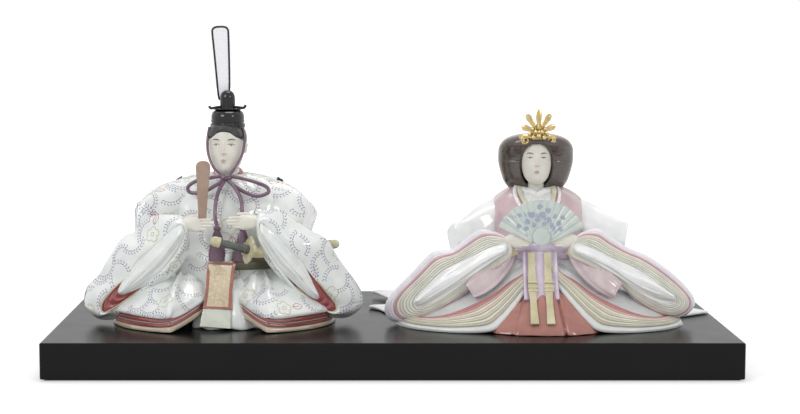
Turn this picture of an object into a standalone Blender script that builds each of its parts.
"""A pair of seated court dolls in glazed porcelain on a lacquered board. Metres, +Z up.

The origin is under the middle of the board. The dolls face -Y, so a doll's left side is at +X.
Tables of shares hold the outlines of the robes. A doll's three driving sizes turn them into
metres: half the width across the knees, how far the knees reach forward, and how high the
forearms are held. The shapes of a head, a hand, a hat or a crown are shares of its own size.
"""

import math
from collections import namedtuple

import bmesh
import bpy
import numpy as np
from mathutils import Matrix, Vector
from mathutils.bvhtree import BVHTree

# Board that carries both dolls
BOARD_WIDTH = 0.700
BOARD_DEPTH = 0.350
BOARD_THICKNESS = 0.0367
BOARD_EDGE_RADIUS = 0.0010
FELT_THICKNESS = 0.0010
FELT_INSET = 0.004

# Clearances between pieces that are fixed, and round pieces that slide
SEAT_GAP = 0.0003
SLIDE_GAP = 0.0004
CORNER_ALLOWANCE = 1.3
SMOOTH_ANGLE = math.radians(50.0)

# Emperor
EMPEROR_X = -0.176
EMPEROR_KNEE_HALF_WIDTH = 0.100
EMPEROR_KNEE_REACH = 0.100
EMPEROR_ARM_HEIGHT = 0.100
EMPEROR_HEAD_HEIGHT = 0.058
EMPEROR_HEAD_TURN = math.radians(-8.0)
EMPEROR_HAND_LENGTH = 0.035

# Empress
EMPRESS_X = 0.157
EMPRESS_KNEE_HALF_WIDTH = 0.100
EMPRESS_KNEE_REACH = 0.100
EMPRESS_ARM_HEIGHT = 0.100
EMPRESS_HEAD_HEIGHT = 0.051
EMPRESS_HEAD_TURN = math.radians(-3.0)
EMPRESS_HAND_LENGTH = 0.032

# Emperor's court hat
HAT_HALF_WIDTH = 0.0174
HAT_HEIGHT = 0.0165
HAT_RIM_THICKNESS = 0.0026
HAT_PIN_RADIUS = 0.0014
HAT_BUMP_HALF_WIDTH = 0.0080
HAT_BUMP_HEIGHT = 0.0210
TAIL_HEIGHT = 0.0800
TAIL_TOP_WIDTH = 0.0186
TAIL_FOOT_WIDTH = 0.0118
TAIL_WIRE_WIDTH = 0.0018
TAIL_WIRE_DEPTH = 0.0022
TAIL_GAUZE_THICKNESS = 0.0010
TAIL_TONGUE_LENGTH = 0.0090
TAIL_TONGUE_WIDTH = 0.0040
TAIL_TONGUE_DEPTH = 0.0020
TAIL_TRAVEL = 0.020

# Cords of the hat, cast in porcelain
CHIN_CORD_RADIUS = 0.0014
BOW_CORD_RADIUS = 0.0017
BOW_KNOT_RADIUS = 0.0036
TASSEL_LENGTH = 0.0360
TASSEL_HALF_WIDTH = 0.0094

# Baton in the emperor's right hand
BATON_LENGTH = 0.0680
BATON_TOP_WIDTH = 0.0150
BATON_FOOT_WIDTH = 0.0074
BATON_THICKNESS = 0.0030
BATON_TRAVEL = 0.020

# Emperor's sword
GRIP_LENGTH = 0.0330
GRIP_RADIUS = 0.0042
POMMEL_RADIUS = 0.0056
GUARD_HALF_HEIGHT = 0.0145
GUARD_THICKNESS = 0.0026
MOUTH_RADIUS = 0.0064
MOUTH_LENGTH = 0.0100
TANG_RADIUS = 0.0024
TANG_LENGTH = 0.0070
SCABBARD_RADIUS = 0.0044
SWORD_TRAVEL = 0.010

# Sash that hangs from the emperor's belt
SASH_WIDTH = 0.0300
SASH_THICKNESS = 0.0032

# Fan
FAN_RADIUS = 0.0480
FAN_HUB_RADIUS = 0.0092
FAN_HUB_THICKNESS = 0.0028
FAN_PLEATS = 12
FAN_PLEAT_DEPTH = 0.0018
FAN_THICKNESS = 0.0016
FAN_SWEEP = math.radians(131.0)

# Crown
CROWN_HEIGHT = 0.0320
CROWN_HALF_WIDTH = 0.0185
CROWN_BAND_RADIUS = 0.0021
CROWN_PEG_RADIUS = 0.0016
CROWN_PEG_LENGTH = 0.0050
CROWN_TRAVEL = 0.012

# Ribbons that hang from the empress's belt
RIBBON_WIDTH = 0.0340
RIBBON_THICKNESS = 0.0026
STRAP_WIDTH = 0.0084
STRAP_THICKNESS = 0.0026

# How far each doll is lifted off the board
LIFT_TRAVEL = 0.060
SEAT = FELT_THICKNESS + SEAT_GAP + BOARD_THICKNESS + SEAT_GAP

Doll = namedtuple("Doll", "x width reach height")
EMPEROR = Doll(EMPEROR_X, EMPEROR_KNEE_HALF_WIDTH, EMPEROR_KNEE_REACH, EMPEROR_ARM_HEIGHT)
EMPRESS = Doll(EMPRESS_X, EMPRESS_KNEE_HALF_WIDTH, EMPRESS_KNEE_REACH, EMPRESS_ARM_HEIGHT)


def clear_scene():
    for obj in list(bpy.data.objects):
        bpy.data.objects.remove(obj)


def finish(name, colour, roughness, metallic=0.0):
    """A material with one colour, as linear red, green and blue."""
    made = bpy.data.materials.new(name)
    made.use_nodes = True
    shader = made.node_tree.nodes["Principled BSDF"]
    shader.inputs["Base Color"].default_value = (*colour, 1.0)
    shader.inputs["Roughness"].default_value = roughness
    shader.inputs["Metallic"].default_value = metallic
    made.diffuse_color = (*colour, 1.0)
    return made


def spline_weights(samples, controls, closed):
    """Rows of Catmull-Rom weights, one row for each evenly spaced sample of a curve."""
    spans = controls if closed else controls - 1
    steps = samples if closed else samples - 1
    rows = np.zeros((samples, controls))
    for sample in range(samples):
        place = sample * spans / steps
        span = min(int(place), spans - 1)
        u = place - span
        basis = (
            -0.5 * u + u * u - 0.5 * u**3,
            1 - 2.5 * u * u + 1.5 * u**3,
            0.5 * u + 2 * u * u - 1.5 * u**3,
            -0.5 * u * u + 0.5 * u**3,
        )
        for offset, weight in zip((-1, 0, 1, 2), basis):
            index = span + offset
            if closed:
                rows[sample, index % controls] += weight
            elif index < 0:
                rows[sample, 0] += 2 * weight
                rows[sample, 1] -= weight
            elif index >= controls:
                rows[sample, -1] += 2 * weight
                rows[sample, -2] -= weight
            else:
                rows[sample, index] += weight
    return rows


def smooth_path(points, samples):
    """Evenly spaced points on a smooth open curve through the given ones."""
    rows = spline_weights(samples, len(points), False)
    return [Vector(point) for point in rows @ np.array([tuple(p) for p in points])]


def object_of(name, points, faces, material):
    """A mesh object with its faces turned outwards."""
    mesh = bpy.data.meshes.new(name)
    mesh.from_pydata([tuple(p) for p in points], [], faces)
    shaped = bmesh.new()
    shaped.from_mesh(mesh)
    bmesh.ops.recalc_face_normals(shaped, faces=shaped.faces)
    shaped.to_mesh(mesh)
    shaped.free()
    mesh.materials.append(material)
    made = bpy.data.objects.new(name, mesh)
    bpy.context.scene.collection.objects.link(made)
    return made


def loft(name, loops, material, around=None, along=None, floor=None):
    """A closed skin over a row of closed loops that all have as many points."""
    grid = np.array([[tuple(p) for p in loop] for loop in loops])
    if around:
        grid = np.einsum("nk,skd->snd", spline_weights(around, grid.shape[1], True), grid)
    if along:
        grid = np.einsum("ms,snd->mnd", spline_weights(along, grid.shape[0], False), grid)
    if floor is not None:
        grid[:, :, 2] = np.maximum(grid[:, :, 2], floor)
    rows, columns = grid.shape[:2]
    points = [Vector(p) for p in grid.reshape(-1, 3)]
    faces = []
    for row in range(rows - 1):
        for column in range(columns):
            ahead = (column + 1) % columns
            start = row * columns
            faces.append(
                (start + column, start + ahead, start + columns + ahead, start + columns + column)
            )
    for row in (0, rows - 1):
        centre = len(points)
        points.append(Vector(grid[row].mean(axis=0)))
        for column in range(columns):
            faces.append((row * columns + column, row * columns + (column + 1) % columns, centre))
    return object_of(name, points, faces, material)


def oval(centre, half_x, half_y, squareness, count):
    """A level loop between an ellipse and a rectangle: squareness 2 is an ellipse."""
    loop = []
    for step in range(count):
        angle = math.tau * step / count
        cosine, sine = math.cos(angle), math.sin(angle)
        x = math.copysign(abs(cosine) ** (2 / squareness), cosine)
        y = math.copysign(abs(sine) ** (2 / squareness), sine)
        loop.append(centre + Vector((half_x * x, half_y * y, 0)))
    return loop


def tube(name, route, radii, sides, material, flatness=1.0):
    """A tube along a route, with a radius for each point, kept from twisting."""
    route = [Vector(p) for p in route]
    loops = []
    side = None
    for index, point in enumerate(route):
        before = route[max(index - 1, 0)]
        after = route[min(index + 1, len(route) - 1)]
        ahead = (after - before).normalized()
        if side is None:
            side = ahead.orthogonal().normalized()
        side = (side - ahead * side.dot(ahead)).normalized()
        other = ahead.cross(side)
        radius = radii[index] if hasattr(radii, "__len__") else radii
        loops.append(
            [
                point
                + side * radius * math.cos(math.tau * k / sides)
                + other * radius * flatness * math.sin(math.tau * k / sides)
                for k in range(sides)
            ]
        )
    return loft(name, loops, material)


def rounded_box(name, low, high, radius, segments, material):
    """A box with eased edges."""
    shaped = bmesh.new()
    bmesh.ops.create_cube(shaped, size=1)
    size = high - low
    bmesh.ops.scale(shaped, vec=size, verts=shaped.verts)
    bmesh.ops.translate(shaped, vec=(low + high) / 2, verts=shaped.verts)
    if radius:
        bmesh.ops.bevel(
            shaped, geom=shaped.edges[:], offset=radius, segments=segments, affect="EDGES"
        )
    mesh = bpy.data.meshes.new(name)
    shaped.to_mesh(mesh)
    shaped.free()
    mesh.materials.append(material)
    made = bpy.data.objects.new(name, mesh)
    bpy.context.scene.collection.objects.link(made)
    return made


def ball(name, centre, radius, material, stretch=(1, 1, 1), segments=10, rings=6):
    """An ellipsoid."""
    shaped = bmesh.new()
    bmesh.ops.create_uvsphere(shaped, u_segments=segments, v_segments=rings, radius=radius)
    bmesh.ops.scale(shaped, vec=stretch, verts=shaped.verts)
    bmesh.ops.translate(shaped, vec=centre, verts=shaped.verts)
    mesh = bpy.data.meshes.new(name)
    shaped.to_mesh(mesh)
    shaped.free()
    mesh.materials.append(material)
    made = bpy.data.objects.new(name, mesh)
    bpy.context.scene.collection.objects.link(made)
    return made


def main_body(mesh):
    """Removes the offcuts that a cut leaves, and keeps the largest body."""
    shaped = bmesh.new()
    shaped.from_mesh(mesh)
    bmesh.ops.triangulate(shaped, faces=shaped.faces)
    left = set(shaped.faces)
    bodies = []
    while left:
        group = {left.pop()}
        front = list(group)
        while front:
            links = [edge.link_faces for edge in front.pop().edges]
            near = {other for faces in links if len(faces) == 2 for other in faces} & left
            left -= near
            group |= near
            front.extend(near)
        corners = [[v.co for v in face.verts] for face in group]
        volume = sum(a.dot(b.cross(c)) for a, b, c in corners)
        bodies.append((abs(volume), len(bodies), group))
    bodies.sort(key=lambda body: body[:2])
    for _, _, group in bodies[:-1]:
        bmesh.ops.delete(shaped, geom=list(group), context="FACES")
    stray = [vertex for vertex in shaped.verts if not vertex.link_faces]
    bmesh.ops.delete(shaped, geom=stray, context="VERTS")
    shaped.to_mesh(mesh)
    shaped.free()


def combine(obj, other, operation):
    """Applies one Boolean to the object."""
    modifier = obj.modifiers.new("Combine", "BOOLEAN")
    modifier.operation = operation
    modifier.object = other
    graph = bpy.context.evaluated_depsgraph_get()
    graph.update()
    result = bpy.data.meshes.new_from_object(obj.evaluated_get(graph))
    obj.modifiers.remove(modifier)
    obj.data = result
    main_body(obj.data)


def swollen(obj, gap=SEAT_GAP):
    """A helper with the object's shape that stands a gap further out all over."""
    copy = obj.copy()
    copy.data = obj.data.copy()
    copy.name = obj.name + "_clearance"
    bpy.context.scene.collection.objects.link(copy)
    shaped = bmesh.new()
    shaped.from_mesh(copy.data)
    shaped.normal_update()
    for vertex in shaped.verts:
        vertex.co += vertex.normal * gap * CORNER_ALLOWANCE
    shaped.to_mesh(copy.data)
    shaped.free()
    copy.hide_render = True
    copy.display_type = "WIRE"
    return copy


def meets(one, other):
    """Whether the surfaces of two objects cross."""
    boxes = []
    trees = []
    for obj in (one, other):
        points = [v.co for v in obj.data.vertices]
        boxes.append(np.array(points))
        trees.append(BVHTree.FromPolygons(points, [p.vertices[:] for p in obj.data.polygons]))
    if (boxes[0].min(axis=0) > boxes[1].max(axis=0)).any():
        return False
    if (boxes[1].min(axis=0) > boxes[0].max(axis=0)).any():
        return False
    return bool(trees[0].overlap(trees[1]))


class Build:
    """Pieces in the order that they were made. Each new one is cut clear of those before it."""

    def __init__(self):
        self.shields = []

    def add(self, obj, others=(), gap=SEAT_GAP):
        """Joins the others to the object as one casting, cuts it clear, and keeps its shape."""
        shields = [swollen(part, gap) for part in (obj, *others)]
        for other in others:
            combine(obj, other, "UNION")
            bpy.data.objects.remove(other)
        for shield in self.shields:
            if meets(obj, shield):
                combine(obj, shield, "DIFFERENCE")
        self.shields.extend(shields)
        return obj

    def cut(self, obj, tool):
        """Makes a cut that no neighbour fills."""
        combine(obj, tool, "DIFFERENCE")
        bpy.data.objects.remove(tool)

    def close(self):
        """Removes the clearance shapes."""
        for shield in self.shields:
            bpy.data.objects.remove(shield)


def joint(name, place, run, travel, names, parent=None):
    """An arrow on a joint's axis, as long as its travel, that carries the named pieces."""
    turn = run.to_track_quat("Z", "Y").to_matrix().to_4x4()
    arrow = bpy.data.objects.new(name, None)
    arrow.empty_display_type = "SINGLE_ARROW"
    arrow.empty_display_size = travel
    arrow.matrix_basis = Matrix.Translation(place) @ turn
    bpy.context.scene.collection.objects.link(arrow)
    carried = [bpy.data.objects[name] for name in names]
    for obj in carried:
        obj.parent = arrow
        obj.matrix_parent_inverse = arrow.matrix_basis.inverted()
    if parent:
        arrow.parent = parent
        arrow.matrix_parent_inverse = parent.matrix_basis.inverted()
    return arrow


def spot(doll, share):
    """The world point at these shares of a doll's three driving sizes."""
    x, y, z = share
    return Vector((doll.x + x * doll.width, y * doll.reach, SEAT + z * doll.height))


def level_rings(doll, row_shares, count):
    """Level loops. A row has height, half width, front, back, squareness and middle."""
    loops = []
    for height, half_width, front, back, squareness, middle in row_shares:
        loop = []
        for step in range(count):
            angle = math.tau * (step + 0.5) / count
            cosine, sine = math.cos(angle), math.sin(angle)
            x = math.copysign(abs(cosine) ** (2 / squareness), cosine)
            y = math.copysign(abs(sine) ** (2 / squareness), sine)
            depth = (back - front) / 2
            share = (middle + half_width * x, (front + back) / 2 + depth * y, height)
            loop.append(spot(doll, share))
        loops.append(loop)
    return loops


def mound(name, doll, row_shares, material, around=28, along=None):
    """A closed form of level loops."""
    return loft(name, level_rings(doll, row_shares, around), material, None, along, SEAT)


def facing_rings(doll, row_shares, count, view_share=(0, -1, 0.3)):
    """Oval loops square to a route. A row has a point, half width, half depth and squareness."""
    points = [spot(doll, row[0]) for row in row_shares]
    loops = []
    for index, (_, half_width, half_depth, squareness) in enumerate(row_shares):
        before = points[max(index - 1, 0)]
        after = points[min(index + 1, len(points) - 1)]
        ahead = (after - before).normalized()
        out = Vector(view_share)
        out = (out - ahead * out.dot(ahead)).normalized()
        side = ahead.cross(out)
        loop = []
        for step in range(count):
            angle = math.tau * (step + 0.5) / count
            cosine, sine = math.cos(angle), math.sin(angle)
            x = math.copysign(abs(cosine) ** (2 / squareness), cosine)
            y = math.copysign(abs(sine) ** (2 / squareness), sine)
            reach = side * x * half_width * doll.width + out * y * half_depth * doll.reach
            loop.append(points[index] + reach)
        loops.append(loop)
    return loops


def fold(name, doll, row_shares, material, around=20, along=None):
    """A closed form of oval loops that follow a route, flattened where it meets the board."""
    return loft(name, facing_rings(doll, row_shares, around), material, None, along, SEAT)


def half_of(obj, doll, side):
    """Keeps the part of an object on one side of the doll's middle."""
    reach = Vector((2 * doll.width, 3 * doll.reach, 2 * doll.height))
    middle = spot(doll, (0, 0, 0)) - Vector((side * (reach.x - SEAT_GAP), 0, 0))
    tool = rounded_box("half", middle - reach, middle + reach, 0, 1, obj.data.materials[0])
    combine(obj, tool, "DIFFERENCE")
    bpy.data.objects.remove(tool)
    return obj


def mirrored(row_shares):
    """The same rows on the doll's other side."""
    return [((-row[0][0], row[0][1], row[0][2]), *row[1:]) for row in row_shares]


def head_rings(centre, height, turn, row_shares, count):
    """Level loops of a head: height, half width, front and back as shares of its height."""
    loops = []
    for level, half_width, front, back, squareness in row_shares:
        middle = centre + Vector((0, (front + back) / 2, level)) * height
        ring = oval(
            Vector(), half_width * height, (back - front) / 2 * height, squareness, count
        )
        spin = Matrix.Rotation(turn, 3, "Z")
        loops.append([centre + spin @ (middle + point - centre) for point in ring])
    return loops


def linear(code):
    """Linear colour from a hexadecimal sRGB code."""
    values = [int(code[i : i + 2], 16) / 255 for i in (1, 3, 5)]
    return [v / 12.92 if v <= 0.04045 else ((v + 0.055) / 1.055) ** 2.4 for v in values]


def finishes():
    """The glazes and finishes, by name."""
    table = {
        "black_lacquer": ("#1b1c1b", 0.25),
        "felt": ("#20211f", 0.9),
        "white_glaze": ("#e3e8e5", 0.15),
        "red_glaze": ("#a4585a", 0.2),
        "cream_glaze": ("#cbbfae", 0.2),
        "black_glaze": ("#23282a", 0.12),
        "purple_glaze": ("#7d5f76", 0.2),
        "olive_glaze": ("#5d5c4a", 0.25),
        "tan_glaze": ("#c2b49c", 0.25),
        "bisque": ("#d9d5c8", 0.35),
        "baton_wood": ("#9c8574", 0.5),
        "grip_glaze": ("#4b5248", 0.25),
        "guard_glaze": ("#b9b79a", 0.25),
        "hair_brown": ("#4d4038", 0.2),
        "gilded": ("#c4a55c", 0.25),
        "mauve_glaze": ("#bfa5a8", 0.2),
        "terracotta_glaze": ("#a97368", 0.2),
        "lavender_glaze": ("#b9a0bd", 0.2),
        "gold_strap": ("#b0a468", 0.25),
        "fan_glaze": ("#c5d0c6", 0.2),
        "gauze": ("#c8c8cc", 0.3),
    }
    return {
        name: finish(name, linear(code), roughness, 1.0 if name == "gilded" else 0.0)
        for name, (code, roughness) in table.items()
    }


def make_board(glaze):
    """The lacquered board, with a felt sheet under it."""
    half = Vector((BOARD_WIDTH / 2, BOARD_DEPTH / 2, 0))
    foot = Vector((0, 0, FELT_THICKNESS + SEAT_GAP))
    rounded_box(
        "display_board",
        foot - half,
        foot + half + Vector((0, 0, BOARD_THICKNESS)),
        BOARD_EDGE_RADIUS,
        1,
        glaze["black_lacquer"],
    )
    inset = half - Vector((FELT_INSET, FELT_INSET, 0))
    rounded_box(
        "felt_sheet", -inset, inset + Vector((0, 0, FELT_THICKNESS)), 0, 1, glaze["felt"]
    )


# Emperor's robes. A body row: height, half width, front, back, squareness, middle.
EMPEROR_TORSO_SHARES = (
    (0.00, 0.90, -0.62, 0.84, 2.6, 0.0),
    (0.20, 0.92, -0.68, 0.86, 2.4, 0.0),
    (0.45, 0.78, -0.66, 0.76, 2.3, 0.0),
    (0.64, 0.62, -0.57, 0.60, 2.3, 0.0),
    (0.90, 0.58, -0.54, 0.50, 2.4, 0.0),
    (1.15, 0.60, -0.47, 0.45, 2.4, 0.02),
    (1.35, 0.62, -0.36, 0.38, 2.3, 0.03),
    (1.48, 0.57, -0.29, 0.29, 2.2, 0.03),
    (1.545, 0.38, -0.24, 0.23, 2.1, 0.02),
    (1.585, 0.22, -0.20, 0.18, 2.0, 0.01),
)
EMPEROR_UNDER_HAKAMA_SHARES = (
    (0.00, 0.40, -1.00, -0.40, 2.6, 0.08),
    (0.16, 0.36, -0.97, -0.40, 2.4, 0.08),
    (0.34, 0.28, -0.88, -0.40, 2.2, 0.06),
    (0.50, 0.18, -0.76, -0.40, 2.2, 0.04),
)
# Outlines of the layers under a knee, seen from above, on the doll's right side
KNEE_OUTLINE_SHARES = (
    (-0.16, -0.86),
    (-0.30, -1.03),
    (-0.50, -1.20),
    (-0.72, -1.10),
    (-0.98, -0.90),
    (-1.14, -0.62),
    (-1.18, -0.30),
    (-1.10, 0.04),
    (-0.84, 0.24),
    (-0.46, 0.16),
    (-0.20, -0.20),
    (-0.12, -0.55),
)
# Height and size of the rings of a knee's layers and of the robe over it
KNEE_LAYER_SHARES = (
    (0.000, 1.00),
    (0.045, 1.00),
    (0.055, 0.975),
    (0.062, 0.990),
    (0.090, 0.990),
    (0.096, 0.965),
    (0.102, 0.980),
    (0.140, 0.980),
)
KNEE_ROBE_SHARES = (
    (0.145, 0.990),
    (0.175, 1.010),
    (0.215, 0.985),
    (0.300, 0.870),
    (0.400, 0.720),
    (0.500, 0.540),
    (0.580, 0.340),
)
KNEE_MIDDLE_SHARE = (-0.42, -0.42)
EMPEROR_TRAIN_SHARES = (
    (0.00, 0.66, 0.40, 1.24, 4.0, 0.0),
    (0.07, 0.64, 0.40, 1.22, 4.0, 0.0),
    (0.12, 0.58, 0.40, 1.16, 3.6, 0.0),
    (0.34, 0.44, 0.40, 0.96, 3.0, 0.0),
    (0.52, 0.30, 0.40, 0.72, 2.6, 0.0),
)
# A sleeve row: point, half width across the route, half depth, squareness.
EMPEROR_RIGHT_SLEEVE_SHARES = (
    ((-0.37, -0.80, 1.05), 0.14, 0.11, 2.0),
    ((-0.60, -0.64, 0.90), 0.26, 0.19, 2.2),
    ((-0.83, -0.57, 0.70), 0.31, 0.24, 2.4),
    ((-1.08, -0.50, 0.47), 0.30, 0.25, 2.4),
    ((-1.29, -0.44, 0.25), 0.24, 0.21, 2.3),
    ((-1.42, -0.40, 0.09), 0.11, 0.12, 2.0),
)
EMPEROR_RIGHT_LINING_SHARES = (
    ((-0.40, -0.80, 1.04), 0.07, 0.06, 2.0),
    ((-0.58, -0.76, 0.87), 0.12, 0.10, 2.2),
    ((-0.76, -0.74, 0.67), 0.15, 0.13, 2.2),
    ((-0.96, -0.70, 0.46), 0.15, 0.13, 2.2),
    ((-1.12, -0.62, 0.29), 0.12, 0.11, 2.2),
    ((-1.22, -0.54, 0.20), 0.05, 0.05, 2.0),
)
EMPEROR_RIGHT_ROLL_SHARES = (
    ((-0.50, -0.86, 0.93), 0.05, 0.06, 2.0),
    ((-0.60, -0.84, 0.82), 0.08, 0.08, 2.0),
    ((-0.72, -0.83, 0.69), 0.10, 0.09, 2.0),
    ((-0.89, -0.79, 0.51), 0.10, 0.09, 2.0),
    ((-1.02, -0.72, 0.39), 0.06, 0.06, 2.0),
)
EMPEROR_LEFT_SLEEVE_SHARES = (
    ((0.37, -0.80, 1.08), 0.13, 0.11, 2.0),
    ((0.60, -0.64, 0.91), 0.25, 0.19, 2.2),
    ((0.82, -0.57, 0.70), 0.29, 0.24, 2.4),
    ((1.05, -0.50, 0.45), 0.28, 0.25, 2.4),
    ((1.24, -0.44, 0.24), 0.22, 0.21, 2.3),
    ((1.35, -0.40, 0.10), 0.11, 0.12, 2.0),
)
EMPEROR_LEFT_LINING_SHARES = (
    ((0.44, -0.80, 1.00), 0.06, 0.06, 2.0),
    ((0.58, -0.76, 0.84), 0.10, 0.10, 2.2),
    ((0.74, -0.74, 0.65), 0.12, 0.13, 2.2),
    ((0.93, -0.70, 0.43), 0.13, 0.13, 2.2),
    ((1.10, -0.62, 0.23), 0.11, 0.11, 2.2),
    ((1.20, -0.54, 0.13), 0.05, 0.05, 2.0),
)
EMPEROR_LEFT_ROLL_SHARES = (
    ((0.62, -0.84, 0.80), 0.05, 0.06, 2.0),
    ((0.74, -0.83, 0.66), 0.08, 0.08, 2.0),
    ((0.90, -0.80, 0.47), 0.09, 0.09, 2.0),
    ((1.04, -0.72, 0.31), 0.06, 0.06, 2.0),
)
EMPEROR_SHOULDER_SHARES = (
    ((0.36, 0.04, 1.26), 0.26, 0.32, 2.6),
    ((0.60, 0.00, 1.21), 0.26, 0.33, 2.8),
    ((0.76, -0.05, 1.13), 0.245, 0.34, 3.2),
    ((0.90, -0.08, 1.075), 0.20, 0.33, 3.6),
    ((0.985, -0.10, 1.06), 0.16, 0.29, 3.6),
)
EMPEROR_COLLAR_SHARES = (
    (1.50, 0.20, -0.22, 0.20, 2.0, 0.02),
    (1.56, 0.19, -0.20, 0.18, 2.0, 0.02),
    (1.62, 0.15, -0.16, 0.14, 2.0, 0.02),
)
EMPEROR_BELT_SHARES = (
    (0.58, 0.66, -0.64, 0.64, 2.3, 0.0),
    (0.66, 0.67, -0.65, 0.64, 2.3, 0.0),
    (0.77, 0.62, -0.60, 0.58, 2.3, 0.0),
)
# Head rows: height, half width, front, back and squareness, as shares of the head's height
HEAD_SHARES = (
    (0.00, 0.110, -0.37, -0.12, 2.0),
    (0.04, 0.175, -0.41, 0.02, 2.0),
    (0.14, 0.245, -0.43, 0.18, 2.1),
    (0.30, 0.300, -0.44, 0.30, 2.2),
    (0.45, 0.320, -0.43, 0.38, 2.2),
    (0.60, 0.322, -0.42, 0.42, 2.2),
    (0.75, 0.310, -0.40, 0.42, 2.1),
    (0.88, 0.250, -0.32, 0.34, 2.0),
    (0.97, 0.130, -0.17, 0.18, 2.0),
)
NECK_SHARES = (
    (-0.30, 0.20, -0.20, 0.18, 2.0),
    (-0.10, 0.17, -0.17, 0.16, 2.0),
    (0.10, 0.16, -0.16, 0.16, 2.0),
    (0.30, 0.15, -0.14, 0.16, 2.0),
)
# Emperor's hair and hat, in shares of the head's height
EMPEROR_HAIR_SHARES = (
    (0.34, 0.16, 0.22, 0.44, 2.0),
    (0.50, 0.33, 0.00, 0.46, 2.1),
    (0.66, 0.345, -0.14, 0.46, 2.1),
    (0.76, 0.34, -0.34, 0.45, 2.1),
    (0.84, 0.32, -0.41, 0.43, 2.1),
    (0.92, 0.27, -0.34, 0.36, 2.0),
)
HAT_PLACE_SHARE = (0.02, -0.02, 0.87)
HAT_CAP_SHARES = (
    (0.00, 0.98, 1.20, 2.0),
    (0.16, 1.02, 1.24, 2.0),
    (0.22, 1.00, 1.20, 2.0),
    (0.70, 0.98, 1.16, 2.1),
    (0.90, 0.88, 1.02, 2.1),
    (1.00, 0.68, 0.80, 2.1),
)
HAT_BUMP_SHARES = (
    (0.00, 1.00, 1.15, 2.2),
    (0.45, 1.00, 1.10, 2.2),
    (0.75, 0.94, 1.00, 2.1),
    (0.92, 0.66, 0.70, 2.0),
    (1.00, 0.25, 0.28, 2.0),
)
HAT_RIM_SHARES = ((-0.4, 0.66), (0.3, 0.86), (0.8, 0.90), (1.2, 0.60))
# Pin through the hat: place across it and lift in thicknesses of the rim
HAT_PIN_SHARES = ((-1.15, 2.6), (-1.0, 1.3), (-0.5, 0.6), (0.5, 0.6), (1.0, 1.3), (1.15, 2.6))
HAT_PIN_DEPTH_SHARE = -0.2
TAIL_FOOT_SHARE = (0.0, 0.95, 1.2)
# Right half of the tail's outline from foot to top: height and share of the width there
TAIL_OUTLINE_SHARES = (
    (0.00, 1.00),
    (0.25, 1.00),
    (0.50, 1.00),
    (0.75, 1.00),
    (0.93, 1.00),
    (0.98, 0.90),
    (1.00, 0.60),
)
TAIL_LEAN_SHARE = (-0.05, 0.04, 1.0)
TAIL_CUTTER_SHARE = 3.0
# Baton: place up it and how much of the tapered width it keeps
BATON_SHARES = ((0.0, 1.0), (0.5, 1.0), (0.88, 1.0), (0.95, 0.93), (0.985, 0.75), (1.0, 0.45))
BATON_CORNER_SHARES = (
    (-1.0, -0.6),
    (-0.8, -1.0),
    (0.8, -1.0),
    (1.0, -0.6),
    (1.0, 0.6),
    (0.8, 1.0),
    (-0.8, 1.0),
    (-1.0, 0.6),
)
# Palm side of a hand: place along it, half height and half thickness as shares of its length
HAND_SHARES = (
    (0.00, 0.15, 0.13),
    (0.12, 0.19, 0.15),
    (0.35, 0.23, 0.14),
    (0.55, 0.22, 0.11),
    (0.75, 0.19, 0.09),
    (0.92, 0.14, 0.07),
    (1.00, 0.08, 0.04),
)
# Tassel: place down it and half width, as shares of its length and half width
TASSEL_SHARES = (
    (0.0, 0.20),
    (0.06, 0.42),
    (0.14, 0.42),
    (0.22, 0.34),
    (0.5, 0.72),
    (0.85, 0.98),
    (1.0, 1.0),
)
TASSEL_DEPTH_SHARE = 0.75
EMPEROR_HEAD_SHARE = (0.012, -0.05, 1.557)
EMPRESS_HEAD_SHARE = (-0.005, -0.11, 1.458)
KNOT_SHARE = (0.024, -0.35, 1.525)
KNOT_STRETCH_SHARE = (1.1, 0.9, 0.9)
# Routes of the cord. They are kept as points chosen by hand, in shares of the doll's sizes.
CHIN_CORD_SHARES = (
    (-0.175, -0.16, 2.03),
    (-0.200, -0.19, 1.93),
    (-0.192, -0.25, 1.82),
    (-0.150, -0.32, 1.69),
    (-0.085, -0.36, 1.59),
    (0.015, -0.37, 1.535),
    (0.085, -0.36, 1.58),
    (0.150, -0.31, 1.67),
    (0.200, -0.24, 1.78),
    (0.220, -0.18, 1.90),
    (0.198, -0.14, 2.03),
)
BOW_RIGHT_SHARES = (
    (0.01, -0.36, 1.545),
    (-0.12, -0.38, 1.525),
    (-0.28, -0.39, 1.49),
    (-0.375, -0.40, 1.43),
    (-0.34, -0.41, 1.37),
    (-0.22, -0.43, 1.38),
    (-0.10, -0.42, 1.44),
    (0.01, -0.38, 1.505),
)
BOW_LEFT_SHARES = (
    (0.04, -0.36, 1.545),
    (0.17, -0.38, 1.52),
    (0.32, -0.39, 1.48),
    (0.45, -0.40, 1.43),
    (0.47, -0.41, 1.37),
    (0.36, -0.44, 1.335),
    (0.24, -0.44, 1.37),
    (0.12, -0.42, 1.44),
    (0.04, -0.38, 1.505),
)
CORD_END_RIGHT_SHARES = (
    (0.015, -0.37, 1.505),
    (-0.045, -0.45, 1.40),
    (-0.075, -0.52, 1.28),
    (-0.080, -0.57, 1.14),
    (-0.055, -0.62, 1.03),
)
CORD_END_LEFT_SHARES = (
    (0.035, -0.37, 1.505),
    (0.125, -0.44, 1.42),
    (0.190, -0.51, 1.30),
    (0.205, -0.57, 1.14),
    (0.215, -0.62, 1.03),
)
BATON_FOOT_SHARE = (-0.190, -0.86, 1.06)
BATON_LEAN_SHARE = (0.020, 0.0, 1.0)
RIGHT_HAND_SHARE = (-0.41, -0.84, 1.075)
LEFT_HAND_SHARE = (0.41, -0.84, 1.095)
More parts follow.
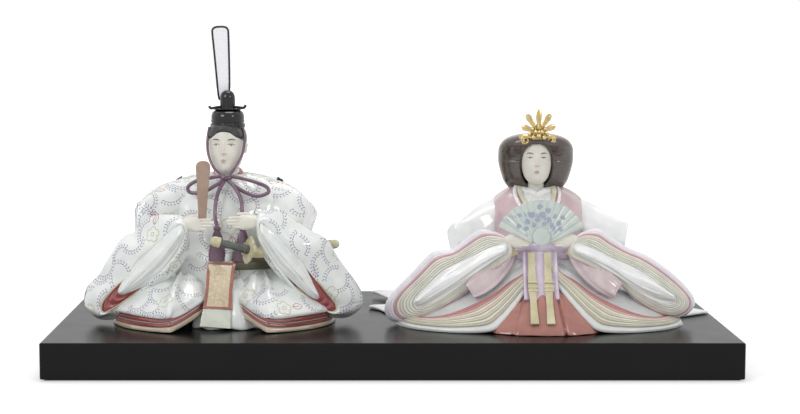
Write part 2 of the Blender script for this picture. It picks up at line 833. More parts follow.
# Which way the fingers point
RIGHT_FINGERS_SHARE = (1.0, -0.07, 0.01)
LEFT_FINGERS_SHARE = (-1.0, -0.07, 0.01)
GUARD_SHARE = (0.290, -0.86, 0.815)
SWORD_RUN_SHARE = (0.93, 0.22, -0.27)
SCABBARD_SHARES = ((0.60, -0.50, 0.75), (0.84, 0.02, 0.72), (1.17, 0.62, 0.695))
SCABBARD_TAPER_SHARES = (1.0, 1.0, 0.9, 0.5, 0.3, 0.1, 0.0, 0.0, 0.0, 0.0, 0.0)
GUARD_LOBE_SHARE = 0.10
GUARD_EDGE_SHARES = ((-0.5, 0.92), (-0.2, 1.0), (0.2, 1.0), (0.5, 0.92))
SASH_SHARES = (
    (0.00, -0.70, 0.64),
    (-0.01, -0.78, 0.56),
    (-0.02, -0.88, 0.40),
    (-0.035, -0.96, 0.21),
    (-0.045, -1.00, 0.12),
    (-0.052, -1.03, 0.035),
)


def head_on(doll, name, place_share, height, turn, glaze):
    """A head with its neck, as one casting. Returns the parts before they are joined."""
    centre = spot(doll, place_share)
    head = loft(name, head_rings(centre, height, turn, HEAD_SHARES, 16), glaze)
    neck = loft(name + "_neck", head_rings(centre, height, turn, NECK_SHARES, 10), glaze)
    return head, neck


def plate_along(name, points, width, thickness, across, material):
    """A strip of one width and thickness along a route, with square edges."""
    loops = []
    for index, point in enumerate(points):
        before = points[max(index - 1, 0)]
        after = points[min(index + 1, len(points) - 1)]
        ahead = (after - before).normalized()
        side = (across - ahead * across.dot(ahead)).normalized() * width / 2
        out = side.cross(ahead).normalized() * thickness / 2
        loops.append([point + a * side + b * out for a, b in ((-1, -1), (1, -1), (1, 1), (-1, 1))])
    return loft(name, loops, material)


def knee(name, doll, level_shares, side, along, material):
    """Rings of a knee's outline, drawn in towards its middle, on one side of the doll."""
    middle_x, middle_y = KNEE_MIDDLE_SHARE
    loops = []
    for level, size in level_shares:
        loop = []
        for x, y in KNEE_OUTLINE_SHARES:
            across = side * (middle_x + (x - middle_x) * size)
            loop.append(spot(doll, (across, middle_y + (y - middle_y) * size, level)))
        loops.append(loop)
    return loft(name, loops, material, 28, along, SEAT)


def hand(name, wrist, towards, length, material):
    """A hand held flat and upright, from its wrist to its fingertips."""
    ahead = towards.normalized()
    out = ahead.cross(Vector((0, 0, 1))).normalized()
    rise = out.cross(ahead)
    loops = []
    for place, half_height, half_thickness in HAND_SHARES:
        centre = wrist + ahead * place * length
        loops.append(
            [
                centre
                + rise * half_height * length * math.cos(math.tau * k / 12)
                + out * half_thickness * length * math.sin(math.tau * k / 12)
                for k in range(12)
            ]
        )
    return loft(name, loops, material)


def tassel(name, top, material):
    """A bell-shaped tassel that hangs from the end of a cord."""
    route = [top - Vector((0, 0, place * TASSEL_LENGTH)) for place, _ in TASSEL_SHARES]
    radii = [width * TASSEL_HALF_WIDTH for _, width in TASSEL_SHARES]
    return tube(name, route, radii, 10, material, TASSEL_DEPTH_SHARE)


def make_emperor_sword(build, glaze):
    """Hilt with its pommel and tang, guard, and the curved scabbard that passes the left hip."""
    guard_place = spot(EMPEROR, GUARD_SHARE)
    run = Vector(SWORD_RUN_SHARE).normalized()
    back = guard_place - run * (GUARD_THICKNESS / 2 + SEAT_GAP)
    end = back - run * GRIP_LENGTH
    grip = tube("sword_hilt", smooth_path([end, back], 4), GRIP_RADIUS, 10, glaze["grip_glaze"])
    pommel = ball("pommel", end, POMMEL_RADIUS, glaze["guard_glaze"], (1, 1, 1), 10, 6)
    reach = guard_place + run * (GUARD_THICKNESS / 2 + TANG_LENGTH)
    tang = tube("tang", [back - run * GRIP_RADIUS, reach], TANG_RADIUS, 8, glaze["grip_glaze"])
    build.add(grip, [pommel, tang], SLIDE_GAP)
    side = run.orthogonal().normalized()
    rise = run.cross(side)
    lobes = []
    for k in range(24):
        angle = math.tau * k / 24
        radius = GUARD_HALF_HEIGHT * (1 - GUARD_LOBE_SHARE * (1 + math.cos(4 * angle)))
        lobes.append((radius * math.cos(angle), radius * math.sin(angle)))
    loops = []
    for offset, size in GUARD_EDGE_SHARES:
        middle = guard_place + run * GUARD_THICKNESS * offset
        loops.append([middle + (side * a + rise * b) * size for a, b in lobes])
    build.add(loft("sword_guard", loops, glaze["guard_glaze"]))
    start = guard_place + run * (GUARD_THICKNESS / 2 + SEAT_GAP)
    route = [start, start + run * MOUTH_LENGTH]
    route += [spot(EMPEROR, share) for share in SCABBARD_SHARES]
    spare = MOUTH_RADIUS - SCABBARD_RADIUS
    radii = [SCABBARD_RADIUS + spare * share for share in SCABBARD_TAPER_SHARES]
    build.add(tube("scabbard", smooth_path(route, len(radii)), radii, 10, glaze["cream_glaze"]))


def make_emperor_head(build, glaze):
    """Head, hair, hat and the gauze tail of the hat."""
    centre = spot(EMPEROR, EMPEROR_HEAD_SHARE)
    head, neck = head_on(
        EMPEROR, "emperor_head", EMPEROR_HEAD_SHARE, EMPEROR_HEAD_HEIGHT, EMPEROR_HEAD_TURN,
        glaze["bisque"],
    )
    build.add(head, [neck])
    rings = head_rings(centre, EMPEROR_HEAD_HEIGHT, EMPEROR_HEAD_TURN, EMPEROR_HAIR_SHARES, 16)
    build.add(loft("emperor_hair", rings, glaze["black_glaze"]))
    base = centre + Vector(HAT_PLACE_SHARE) * EMPEROR_HEAD_HEIGHT
    loops = []
    for level, wide, deep, squareness in HAT_CAP_SHARES:
        middle = base + Vector((0, 0, level * HAT_HEIGHT))
        loops.append(oval(middle, wide * HAT_HALF_WIDTH, deep * HAT_HALF_WIDTH, squareness, 16))
    top = base + Vector((0, 0, HAT_HEIGHT))
    rim = [
        oval(
            top + Vector((0, 0, level * HAT_RIM_THICKNESS)),
            size * HAT_HALF_WIDTH,
            size * HAT_HALF_WIDTH,
            2.0,
            16,
        )
        for level, size in HAT_RIM_SHARES
    ]
    bump = [
        oval(
            top + Vector((0, 0, level * HAT_BUMP_HEIGHT)),
            wide * HAT_BUMP_HALF_WIDTH,
            deep * HAT_BUMP_HALF_WIDTH,
            squareness,
            12,
        )
        for level, wide, deep, squareness in HAT_BUMP_SHARES
    ]
    make_hat_tail(build, top + Vector(TAIL_FOOT_SHARE) * HAT_BUMP_HALF_WIDTH, glaze)
    depth = HAT_PIN_DEPTH_SHARE * HAT_HALF_WIDTH
    pin = [
        top + Vector((share * HAT_HALF_WIDTH, depth, lift * HAT_RIM_THICKNESS))
        for share, lift in HAT_PIN_SHARES
    ]
    black = glaze["black_glaze"]
    build.add(
        loft("court_hat", loops, black),
        [
            loft("rim", rim, black),
            loft("bump", bump, black),
            tube("pin", smooth_path(pin, 8), HAT_PIN_RADIUS, 5, black),
        ],
    )


def tail_outline(foot, inset, depth):
    """Two copies of the tail's outline, one behind the other, drawn in by an inset."""
    lean = Vector(TAIL_LEAN_SHARE)
    loops = []
    for back in (-0.5, 0.5):
        loop = []
        for side in (1, -1):
            for share, taper in TAIL_OUTLINE_SHARES[::side]:
                half = (TAIL_FOOT_WIDTH + (TAIL_TOP_WIDTH - TAIL_FOOT_WIDTH) * share) / 2
                rise = inset + share * (TAIL_HEIGHT - 2 * inset)
                across = side * (half * taper - inset)
                loop.append(foot + Vector((across, back * depth, 0)) + lean * rise)
        loops.append(loop)
    return loops


def make_hat_tail(build, foot, glaze):
    """The upright tail of the hat: a wire frame round a sheet of gauze, with a tongue below."""
    black = glaze["black_glaze"]
    frame = loft("hat_tail_frame", tail_outline(foot, 0, TAIL_WIRE_DEPTH), black)
    lean = Vector(TAIL_LEAN_SHARE)
    ends = [foot + lean * TAIL_WIRE_WIDTH / 2, foot - lean * TAIL_TONGUE_LENGTH]
    across = Vector((1, 0, 0))
    tongue = plate_along("tongue", ends, TAIL_TONGUE_WIDTH, TAIL_TONGUE_DEPTH, across, black)
    build.add(frame, [tongue], SLIDE_GAP)
    depth = TAIL_WIRE_DEPTH * TAIL_CUTTER_SHARE
    build.cut(frame, loft("window", tail_outline(foot, TAIL_WIRE_WIDTH, depth), black))
    inset = TAIL_WIRE_WIDTH + SEAT_GAP
    loft("hat_tail_gauze", tail_outline(foot, inset, TAIL_GAUZE_THICKNESS), glaze["gauze"])


def make_emperor_cord(build, glaze):
    """The chin cord, the bow with its two ends, and the tassels."""
    purple = glaze["purple_glaze"]

    def cord(name, shares, samples, radius):
        points = smooth_path([spot(EMPEROR, share) for share in shares], samples)
        return tube(name, points, radius, 5, purple)

    centre = spot(EMPEROR, KNOT_SHARE)
    knot = ball("hat_cord", centre, BOW_KNOT_RADIUS, purple, KNOT_STRETCH_SHARE, 10, 6)
    arms = [cord("chin", CHIN_CORD_SHARES, 19, CHIN_CORD_RADIUS)]
    for shares in (BOW_RIGHT_SHARES, BOW_LEFT_SHARES):
        arms.append(cord("loop", shares, 15, BOW_CORD_RADIUS))
    for shares in (CORD_END_RIGHT_SHARES, CORD_END_LEFT_SHARES):
        arms.append(cord("end", shares, 7, BOW_CORD_RADIUS))
    build.add(knot, arms)
    for side, shares in (("right", CORD_END_RIGHT_SHARES), ("left", CORD_END_LEFT_SHARES)):
        build.add(tassel(f"tassel_{side}", spot(EMPEROR, shares[-1]), purple))


def make_emperor_front(build, glaze):
    """Baton, hands, sash and belt."""
    foot = spot(EMPEROR, BATON_FOOT_SHARE)
    loops = []
    lean = Vector(BATON_LEAN_SHARE).normalized()
    for level, size in BATON_SHARES:
        half = (BATON_FOOT_WIDTH + (BATON_TOP_WIDTH - BATON_FOOT_WIDTH) * level) / 2 * size
        middle = foot + lean * level * BATON_LENGTH
        loops.append(
            [
                middle + Vector((a * half, b * BATON_THICKNESS / 2, 0))
                for a, b in BATON_CORNER_SHARES
            ]
        )
    build.add(loft("baton", loops, glaze["baton_wood"]), (), SLIDE_GAP)
    for side, share, towards in (
        ("right", RIGHT_HAND_SHARE, RIGHT_FINGERS_SHARE),
        ("left", LEFT_HAND_SHARE, LEFT_FINGERS_SHARE),
    ):
        wrist = spot(EMPEROR, share)
        name = f"emperor_hand_{side}"
        build.add(hand(name, wrist, Vector(towards), EMPEROR_HAND_LENGTH, glaze["bisque"]))
    across = Vector((1, 0, 0))
    points = [spot(EMPEROR, share) for share in SASH_SHARES]
    build.add(plate_along("sash", points, SASH_WIDTH, SASH_THICKNESS, across, glaze["tan_glaze"]))


def make_emperor_robes(build, glaze):
    """Torso, sleeves with their linings and rolls, laps with their layers, belt and train."""
    white = glaze["white_glaze"]
    rolls = {"right": EMPEROR_RIGHT_ROLL_SHARES, "left": EMPEROR_LEFT_ROLL_SHARES}
    linings = {"right": EMPEROR_RIGHT_LINING_SHARES, "left": EMPEROR_LEFT_LINING_SHARES}
    sleeves = {"right": EMPEROR_RIGHT_SLEEVE_SHARES, "left": EMPEROR_LEFT_SLEEVE_SHARES}
    for side in ("right", "left"):
        roll, lining, sleeve = rolls[side], linings[side], sleeves[side]
        build.add(fold(f"emperor_sleeve_roll_{side}", EMPEROR, roll, white, 10, 8))
        build.add(
            fold(f"emperor_sleeve_lining_{side}", EMPEROR, lining, glaze["red_glaze"], 12, 8)
        )
        build.add(fold(f"emperor_sleeve_{side}", EMPEROR, sleeve, white, 16, 9))
    for side, flip in (("right", mirrored), ("left", list)):
        rows = flip(EMPEROR_SHOULDER_SHARES)
        build.add(fold(f"emperor_shoulder_{side}", EMPEROR, rows, white, 16, 6))
    build.add(mound("emperor_collar", EMPEROR, EMPEROR_COLLAR_SHARES, glaze["red_glaze"], 14))
    train = mound("train", EMPEROR, EMPEROR_TRAIN_SHARES, white, 16)
    build.add(mound("emperor_robe", EMPEROR, EMPEROR_TORSO_SHARES, white, 22), [train])
    build.add(mound("emperor_belt", EMPEROR, EMPEROR_BELT_SHARES, glaze["olive_glaze"], 20))
    for side, sign in (("right", 1), ("left", -1)):
        robe = knee(f"emperor_lap_{side}", EMPEROR, KNEE_ROBE_SHARES, sign, None, white)
        build.add(robe)
        layers = knee(
            f"emperor_lap_layers_{side}", EMPEROR, KNEE_LAYER_SHARES, sign, None, glaze["red_glaze"]
        )
        build.add(layers)
    build.add(
        mound("emperor_under_hakama", EMPEROR, EMPEROR_UNDER_HAKAMA_SHARES, white, 16)
    )


def make_emperor(glaze):
    build = Build()
    make_emperor_sword(build, glaze)
    make_emperor_cord(build, glaze)
    make_emperor_head(build, glaze)
    make_emperor_front(build, glaze)
    make_emperor_robes(build, glaze)
    return build


# Empress's robes, in the same columns as the emperor's
EMPRESS_JACKET_SHARES = (
    (0.66, 0.50, -0.62, 0.52, 2.3, 0.02),
    (0.92, 0.50, -0.57, 0.48, 2.4, 0.02),
    (1.12, 0.51, -0.49, 0.43, 2.5, 0.02),
    (1.25, 0.48, -0.39, 0.38, 2.4, 0.02),
    (1.36, 0.35, -0.29, 0.30, 2.2, 0.02),
    (1.42, 0.24, -0.20, 0.22, 2.0, 0.02),
)
EMPRESS_COLLAR_SHARES = (
    (0.98, 0.03, -0.62, -0.36, 2.0, 0.0),
    (1.12, 0.13, -0.53, -0.22, 2.0, 0.0),
    (1.25, 0.21, -0.43, 0.02, 2.0, 0.0),
    (1.36, 0.22, -0.32, 0.15, 2.0, 0.0),
    (1.44, 0.18, -0.25, 0.12, 2.0, 0.0),
    (1.48, 0.15, -0.22, 0.08, 2.0, 0.0),
)
EMPRESS_SKIRT_SHARES = (
    (0.00, 1.42, -0.76, 0.92, 2.2, 0.0),
    (0.10, 1.32, -0.77, 0.90, 2.2, 0.0),
    (0.28, 1.06, -0.80, 0.82, 2.2, 0.0),
    (0.48, 0.82, -0.83, 0.72, 2.2, 0.0),
    (0.64, 0.64, -0.82, 0.62, 2.2, 0.0),
    (0.76, 0.52, -0.75, 0.54, 2.2, 0.0),
)
EMPRESS_LAYERS_SHARES = (
    (0.00, 1.36, -1.04, 0.10, 2.2, 0.0),
    (0.12, 1.22, -1.02, 0.10, 2.2, 0.0),
    (0.26, 1.00, -0.98, 0.10, 2.2, 0.0),
    (0.40, 0.76, -0.92, 0.10, 2.2, 0.0),
    (0.54, 0.46, -0.85, 0.10, 2.2, 0.0),
    (0.60, 0.24, -0.80, 0.10, 2.2, 0.0),
)
EMPRESS_HEM_SHARES = (
    (0.00, 1.50, -1.20, 0.20, 2.3, 0.0),
    (0.07, 1.46, -1.18, 0.20, 2.3, 0.0),
    (0.14, 1.28, -1.12, 0.20, 2.3, 0.0),
    (0.24, 0.92, -1.04, 0.20, 2.3, 0.0),
    (0.38, 0.42, -0.97, 0.20, 2.3, 0.0),
)
EMPRESS_HAKAMA_SHARES = (
    (0.00, 0.62, -1.36, -0.50, 2.3, 0.0),
    (0.08, 0.58, -1.33, -0.50, 2.2, 0.0),
    (0.22, 0.44, -1.22, -0.50, 2.2, 0.0),
    (0.36, 0.30, -1.09, -0.50, 2.2, 0.0),
    (0.46, 0.18, -0.97, -0.50, 2.2, 0.0),
)
# Outline of the train on the board, seen from above, with its pointed corners
TRAIN_OUTLINE_SHARES = (
    (0.00, 0.30),
    (-0.90, 0.10),
    (-1.46, -0.10),
    (-1.78, 0.38),
    (-1.52, 0.62),
    (-1.72, 1.26),
    (-1.10, 1.22),
    (-0.50, 1.44),
    (0.00, 1.50),
    (0.52, 1.44),
    (1.12, 1.20),
    (1.74, 1.10),
    (1.56, 0.56),
    (1.90, 0.10),
    (1.46, -0.20),
    (0.90, 0.05),
)
TRAIN_LEVEL_SHARES = ((0.0, 1.0), (0.05, 1.0), (0.10, 0.96))
EMPRESS_RIGHT_SLEEVE_SHARES = (
    ((-0.38, -0.87, 0.90), 0.12, 0.10, 2.0),
    ((-0.64, -0.73, 0.81), 0.21, 0.17, 2.2),
    ((-0.89, -0.66, 0.62), 0.27, 0.22, 2.4),
    ((-1.13, -0.62, 0.42), 0.28, 0.24, 2.4),
    ((-1.37, -0.58, 0.20), 0.24, 0.21, 2.3),
    ((-1.53, -0.54, 0.06), 0.12, 0.12, 2.0),
)
EMPRESS_RIGHT_BAND_SHARES = (
    ((-0.40, -0.89, 0.89), 0.10, 0.08, 2.0),
    ((-0.64, -0.79, 0.79), 0.175, 0.14, 2.2),
    ((-0.89, -0.74, 0.60), 0.225, 0.18, 2.4),
    ((-1.13, -0.70, 0.40), 0.235, 0.19, 2.4),
    ((-1.34, -0.65, 0.20), 0.19, 0.16, 2.3),
    ((-1.47, -0.58, 0.08), 0.08, 0.09, 2.0),
)
EMPRESS_RIGHT_ROLL_SHARES = (
    ((-0.42, -0.93, 0.88), 0.075, 0.06, 2.0),
    ((-0.62, -0.89, 0.78), 0.12, 0.10, 2.0),
    ((-0.84, -0.87, 0.61), 0.135, 0.12, 2.0),
    ((-1.06, -0.83, 0.42), 0.13, 0.12, 2.0),
    ((-1.26, -0.76, 0.25), 0.08, 0.08, 2.0),
)
EMPRESS_LEFT_SLEEVE_SHARES = (
    ((0.36, -0.87, 0.90), 0.12, 0.10, 2.0),
    ((0.62, -0.70, 0.81), 0.20, 0.17, 2.2),
    ((0.90, -0.63, 0.63), 0.24, 0.21, 2.4),
    ((1.14, -0.58, 0.44), 0.25, 0.23, 2.4),
    ((1.42, -0.53, 0.21), 0.22, 0.20, 2.3),
    ((1.56, -0.50, 0.10), 0.10, 0.11, 2.0),
)
EMPRESS_LEFT_BAND_SHARES = (
    ((0.38, -0.89, 0.89), 0.10, 0.08, 2.0),
    ((0.62, -0.76, 0.79), 0.165, 0.14, 2.2),
    ((0.90, -0.71, 0.61), 0.20, 0.17, 2.4),
    ((1.14, -0.66, 0.42), 0.21, 0.18, 2.4),
    ((1.39, -0.60, 0.21), 0.175, 0.15, 2.3),
    ((1.50, -0.54, 0.12), 0.07, 0.08, 2.0),
)
EMPRESS_LEFT_ROLL_SHARES = (
    ((0.40, -0.92, 0.88), 0.07, 0.06, 2.0),
    ((0.62, -0.86, 0.78), 0.11, 0.10, 2.0),
    ((0.86, -0.83, 0.62), 0.12, 0.11, 2.0),
    ((1.10, -0.78, 0.43), 0.12, 0.11, 2.0),
    ((1.32, -0.71, 0.27), 0.07, 0.07, 2.0),
)
EMPRESS_SHOULDER_SHARES = (
    ((0.34, 0.04, 1.08), 0.24, 0.28, 2.6),
    ((0.56, 0.00, 1.03), 0.24, 0.29, 2.8),
    ((0.72, -0.06, 0.96), 0.225, 0.30, 3.2),
    ((0.86, -0.12, 0.89), 0.18, 0.29, 3.6),
    ((0.955, -0.14, 0.87), 0.14, 0.25, 3.6),
)
EMPRESS_INNER_SLEEVE_SHARES = (
    ((0.34, -0.74, 0.80), 0.08, 0.06, 2.0),
    ((0.42, -0.80, 0.67), 0.15, 0.08, 2.4),
    ((0.54, -0.88, 0.50), 0.19, 0.09, 2.6),
    ((0.65, -0.93, 0.37), 0.20, 0.09, 2.8),
    ((0.71, -0.95, 0.31), 0.16, 0.06, 3.0),
)
EMPRESS_BELT_SHARES = (
    (0.72, 0.50, -0.84, 0.54, 2.2, 0.0),
    (0.80, 0.51, -0.84, 0.54, 2.2, 0.0),
    (0.88, 0.48, -0.78, 0.52, 2.3, 0.0),
)
EMPRESS_HAIR_SHARES = (
    (-0.14, 0.58, -0.10, 0.60, 2.2),
    (0.10, 0.70, -0.14, 0.66, 2.2),
    (0.36, 0.78, -0.16, 0.70, 2.3),
    (0.56, 0.79, -0.18, 0.70, 2.4),
    (0.70, 0.77, -0.24, 0.68, 2.4),
    (0.80, 0.70, -0.42, 0.64, 2.3),
    (0.90, 0.56, -0.41, 0.55, 2.2),
    (0.97, 0.40, -0.34, 0.45, 2.1),
    (1.01, 0.22, -0.22, 0.32, 2.0),
)
# Tied hair down the back: point, half width, half depth and squareness
HAIR_FALL_SHARES = (
    ((0.0, 0.20, 1.52), 0.16, 0.10, 2.0),
    ((0.0, 0.40, 1.28), 0.12, 0.07, 2.0),
    ((0.0, 0.49, 0.96), 0.085, 0.05, 2.0),
    ((0.0, 0.66, 0.62), 0.08, 0.045, 2.0),
    ((0.0, 0.86, 0.32), 0.075, 0.04, 2.0),
    ((0.0, 1.04, 0.19), 0.07, 0.035, 2.0),
    ((0.0, 1.28, 0.155), 0.06, 0.03, 2.0),
)
# Crown parts as shares of its half width, depth and height: balls and the ends of its petals
CROWN_BAND_SHARES = (
    (-1.0, 0.28, 0.07),
    (-0.6, -0.02, 0.12),
    (0.0, -0.14, 0.09),
    (0.6, -0.02, 0.12),
    (1.0, 0.28, 0.07),
)
CROWN_BEAD_SHARES = (
    (0.0, -0.12, 0.30, 0.34),
    (-0.34, -0.06, 0.20, 0.26),
    (0.34, -0.06, 0.20, 0.26),
    (-1.0, 0.26, 0.11, 0.18),
    (1.0, 0.26, 0.11, 0.18),
)
CROWN_BEAD_STRETCH_SHARE = (1.0, 0.6, 1.0)
CROWN_PETAL_SHARES = ((-1.0, 0.50), (-0.66, 0.84), (0.0, 1.0), (0.66, 0.84), (1.0, 0.50))
CROWN_HEART_SHARE = (0.0, -0.10, 0.26)
CROWN_PETAL_DEPTH_SHARE = 0.6
CROWN_PETAL_RADIUS_SHARES = ((0.1, 1.0), (0.5, 1.2), (0.82, 1.6), (1.0, 0.6))
CROWN_PLACE_SHARE = (0.0, -0.43, 0.91)
CROWN_PEG_PLACE_SHARE = (0.0, 0.30, 0.08)
# The crown draws up and forward, clear of the hair that swells over its ends
CROWN_RUN_SHARE = (0.0, -0.34, 0.94)
FAN_PIVOT_SHARE = (-0.02, -0.99, 0.885)
FAN_HUB_SHARES = ((-1.0, 0.85), (-0.7, 1.0), (0.6, 1.0))
FAN_HUB_RISE_SHARE = 0.9
FAN_RING_SHARES = (0.20, 0.60, 1.0)
EMPRESS_RIGHT_HAND_SHARE = (-0.405, -0.93, 0.905)
EMPRESS_LEFT_HAND_SHARE = (0.365, -0.93, 0.905)
RIBBON_SHARES = (
    (-0.03, -0.875, 0.80),
    (-0.03, -0.90, 0.66),
    (-0.03, -1.00, 0.48),
    (-0.03, -1.10, 0.34),
)
STRAP_SHARES = (
    (0.0, -0.905, 0.81),
    (0.0, -0.93, 0.66),
    (0.0, -1.03, 0.48),
    (0.0, -1.14, 0.33),
    (0.0, -1.26, 0.19),
    (0.0, -1.33, 0.11),
)
STRAP_MIDDLE_SHARES = {"right": -0.12, "left": 0.045}


def make_crown(build, glaze):
    """Band with scroll ends, bead cluster, five petals and a peg, as one gilded casting."""
    gold = glaze["gilded"]
    base = spot(EMPRESS, EMPRESS_HEAD_SHARE)
    base += Vector(CROWN_PLACE_SHARE) * EMPRESS_HEAD_HEIGHT
    size = Vector((CROWN_HALF_WIDTH, CROWN_HALF_WIDTH, CROWN_HEIGHT))
    route = [base + Vector(share) * size for share in CROWN_BAND_SHARES]
    band = tube("crown", smooth_path(route, 9), CROWN_BAND_RADIUS, 6, gold)
    parts = []
    for x, y, z, radius in CROWN_BEAD_SHARES:
        parts.append(
            ball(
                f"bead_{len(parts)}", base + Vector((x, y, z)) * size,
                radius * CROWN_HALF_WIDTH, gold, CROWN_BEAD_STRETCH_SHARE, 8, 5,
            )
        )
    heart = base + Vector(CROWN_HEART_SHARE) * size
    for x, z in CROWN_PETAL_SHARES:
        tip = base + Vector((x, 0.0, z)) * size
        ahead = tip - heart
        route = [heart + ahead * place for place, _ in CROWN_PETAL_RADIUS_SHARES]
        radii = [CROWN_BAND_RADIUS * share for _, share in CROWN_PETAL_RADIUS_SHARES]
        parts.append(tube(f"petal_{len(parts)}", route, radii, 6, gold, CROWN_PETAL_DEPTH_SHARE))
    root = base + Vector(CROWN_PEG_PLACE_SHARE) * size
    foot = root - Vector(CROWN_RUN_SHARE).normalized() * (CROWN_PEG_LENGTH + CROWN_BAND_RADIUS)
    parts.append(tube("peg", [heart, root, foot], CROWN_PEG_RADIUS, 6, gold))
    build.add(band, parts, SLIDE_GAP)


def make_fan(build, glaze):
    """Pleated leaf and the round guard plate over its pivot."""
    pivot = spot(EMPRESS, FAN_PIVOT_SHARE)
    hub = [
        oval_facing(
            pivot + Vector((0, offset * FAN_HUB_THICKNESS, FAN_HUB_RADIUS * FAN_HUB_RISE_SHARE)),
            FAN_HUB_RADIUS * size,
        )
        for offset, size in FAN_HUB_SHARES
    ]
    steps = FAN_PLEATS * 2
    front = []
    back = []
    for share in FAN_RING_SHARES:
        ring = share * FAN_RADIUS
        front_row = []
        back_row = []
        for step in range(steps + 1):
            angle = math.pi / 2 + FAN_SWEEP * (step / steps - 0.5)
            crest = FAN_PLEAT_DEPTH / 2 * share * (1 if step % 2 else -1)
            point = pivot + Vector((-ring * math.cos(angle), crest, ring * math.sin(angle)))
            front_row.append(point + Vector((0, SEAT_GAP, 0)))
            back_row.append(point + Vector((0, SEAT_GAP + FAN_THICKNESS, 0)))
        front.append(front_row)
        back.append(back_row)
    loops = []
    for step in range(steps + 1):
        loop = [row[step] for row in front] + [row[step] for row in reversed(back)]
        loops.append([point + Vector((0, FAN_PLEAT_DEPTH / 2, 0)) for point in loop])
    build.add(loft("fan", loops, glaze["fan_glaze"]), [loft("hub", hub, glaze["fan_glaze"])])


def oval_facing(centre, radius, count=16):
    """A round loop that faces the viewer."""
    angles = [math.tau * k / count for k in range(count)]
    return [centre + Vector((math.cos(a), 0, math.sin(a))) * radius for a in angles]


def make_empress_head(build, glaze):
    make_crown(build, glaze)
    head, neck = head_on(
        EMPRESS, "empress_head", EMPRESS_HEAD_SHARE, EMPRESS_HEAD_HEIGHT, EMPRESS_HEAD_TURN,
        glaze["bisque"],
    )
    build.add(head, [neck])
    centre = spot(EMPRESS, EMPRESS_HEAD_SHARE)
    rings = head_rings(centre, EMPRESS_HEAD_HEIGHT, EMPRESS_HEAD_TURN, EMPRESS_HAIR_SHARES, 22)
    fall = fold("fall", EMPRESS, HAIR_FALL_SHARES, glaze["hair_brown"], 8, 7)
    build.add(loft("empress_hair", rings, glaze["hair_brown"]), [fall])


def make_empress_front(build, glaze):
    """Fan, hands, straps and ribbons."""
    make_fan(build, glaze)
    for side, share, towards in (
        ("right", EMPRESS_RIGHT_HAND_SHARE, RIGHT_FINGERS_SHARE),
        ("left", EMPRESS_LEFT_HAND_SHARE, LEFT_FINGERS_SHARE),
    ):
        wrist = spot(EMPRESS, share)
        name = f"empress_hand_{side}"
        build.add(hand(name, wrist, Vector(towards), EMPRESS_HAND_LENGTH, glaze["bisque"]))
    across = Vector((1, 0, 0))
    for side, middle in STRAP_MIDDLE_SHARES.items():
        points = [spot(EMPRESS, (middle, y, z)) for _, y, z in STRAP_SHARES]
        name = f"strap_{side}"
        gold = glaze["gold_strap"]
        build.add(plate_along(name, points, STRAP_WIDTH, STRAP_THICKNESS, across, gold))
    points = [spot(EMPRESS, share) for share in RIBBON_SHARES]
    lavender = glaze["lavender_glaze"]
    build.add(plate_along("ribbon", points, RIBBON_WIDTH, RIBBON_THICKNESS, across, lavender))


def make_empress_robes(build, glaze):
    """Sleeves with their layers, shoulders, torso, jacket, collar, skirt layers and train."""
    white = glaze["white_glaze"]
    rolls = {"right": EMPRESS_RIGHT_ROLL_SHARES, "left": EMPRESS_LEFT_ROLL_SHARES}
    bands = {"right": EMPRESS_RIGHT_BAND_SHARES, "left": EMPRESS_LEFT_BAND_SHARES}
    sleeves = {"right": EMPRESS_RIGHT_SLEEVE_SHARES, "left": EMPRESS_LEFT_SLEEVE_SHARES}
    cream = glaze["cream_glaze"]
    lavender = glaze["lavender_glaze"]
    for side in ("right", "left"):
        roll, band, sleeve = rolls[side], bands[side], sleeves[side]
        build.add(fold(f"empress_sleeve_roll_{side}", EMPRESS, roll, white, 10, 8))
        build.add(fold(f"empress_sleeve_layers_{side}", EMPRESS, band, cream, 14, 9))
        build.add(fold(f"empress_sleeve_{side}", EMPRESS, sleeve, lavender, 16, 9))
    for side, flip in (("right", mirrored), ("left", list)):
        inner = flip(EMPRESS_INNER_SLEEVE_SHARES)
        shoulder = flip(EMPRESS_SHOULDER_SHARES)
        build.add(fold(f"empress_inner_sleeve_{side}", EMPRESS, inner, glaze["mauve_glaze"], 12, 7))
        build.add(fold(f"empress_shoulder_{side}", EMPRESS, shoulder, white, 16, 6))
    build.add(mound("empress_collar", EMPRESS, EMPRESS_COLLAR_SHARES, white, 16))
    build.add(mound("empress_skirt", EMPRESS, EMPRESS_SKIRT_SHARES, white, 26))
    build.add(mound("empress_jacket", EMPRESS, EMPRESS_JACKET_SHARES, glaze["mauve_glaze"], 18))
    build.add(mound("empress_belt", EMPRESS, EMPRESS_BELT_SHARES, glaze["lavender_glaze"], 18))
    build.add(mound("empress_hakama", EMPRESS, EMPRESS_HAKAMA_SHARES, glaze["terracotta_glaze"], 22))
    for side, sign in (("right", -1), ("left", 1)):
        name = f"empress_skirt_layers_{side}"
        layers = mound(name, EMPRESS, EMPRESS_LAYERS_SHARES, glaze["cream_glaze"], 26)
        hem = mound("hem", EMPRESS, EMPRESS_HEM_SHARES, glaze["cream_glaze"], 26)
        combine(layers, hem, "UNION")
        bpy.data.objects.remove(hem)
        build.add(half_of(layers, EMPRESS, sign))
    loops = [
        [spot(EMPRESS, (x * size, y * size, level)) for x, y in TRAIN_OUTLINE_SHARES]
        for level, size in TRAIN_LEVEL_SHARES
    ]
    build.add(loft("empress_train", loops, white, 40, None, SEAT))


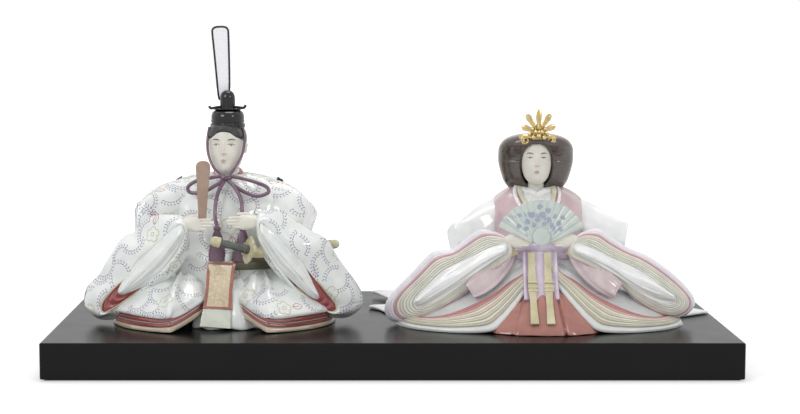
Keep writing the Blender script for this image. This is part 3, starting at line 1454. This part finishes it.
def make_empress(glaze):
    build = Build()
    make_empress_head(build, glaze)
    make_empress_front(build, glaze)
    make_empress_robes(build, glaze)
    return build


def hang_joints(pieces):
    """Puts the moving pieces on their joints: each doll lifts, and its loose parts pull out."""
    up = Vector((0, 0, 1))
    baton = ["baton"]
    tail = ["hat_tail_frame", "hat_tail_gauze"]
    sword = ["sword_hilt", "sword_guard"]
    fixed = ["display_board", "felt_sheet", "crown", *baton, *tail, *sword]
    empress_pieces = {"fan", "ribbon", "strap_left", "strap_right"}
    hers = [n for n in pieces if n.startswith("empress") or n in empress_pieces]
    his = [n for n in pieces if n not in hers and n not in fixed]
    emperor = joint("emperor_lift", spot(EMPEROR, (0, 0, 0)), up, LIFT_TRAVEL, his)
    empress = joint("empress_lift", spot(EMPRESS, (0, 0, 0)), up, LIFT_TRAVEL, hers)
    lean = Vector(BATON_LEAN_SHARE)
    joint("baton_pull", spot(EMPEROR, BATON_FOOT_SHARE), lean, BATON_TRAVEL, baton, emperor)
    hat = spot(EMPEROR, EMPEROR_HEAD_SHARE) + Vector(HAT_PLACE_SHARE) * EMPEROR_HEAD_HEIGHT
    joint("hat_tail_pull", hat, Vector(TAIL_LEAN_SHARE), TAIL_TRAVEL, tail, emperor)
    draw = -Vector(SWORD_RUN_SHARE)
    joint("sword_pull", spot(EMPEROR, GUARD_SHARE), draw, SWORD_TRAVEL, sword, emperor)
    seat = spot(EMPRESS, EMPRESS_HEAD_SHARE) + Vector(CROWN_PLACE_SHARE) * EMPRESS_HEAD_HEIGHT
    joint("crown_pull", seat, Vector(CROWN_RUN_SHARE), CROWN_TRAVEL, ["crown"], empress)


def main():
    clear_scene()
    glaze = finishes()
    make_board(glaze)
    for build in (make_emperor(glaze), make_empress(glaze)):
        build.close()
    pieces = [obj for obj in bpy.context.scene.collection.objects if obj.type == "MESH"]
    for obj in pieces:
        obj.data.shade_smooth()
        obj.data.set_sharp_from_angle(angle=SMOOTH_ANGLE)
    hang_joints([obj.name for obj in pieces])


main()
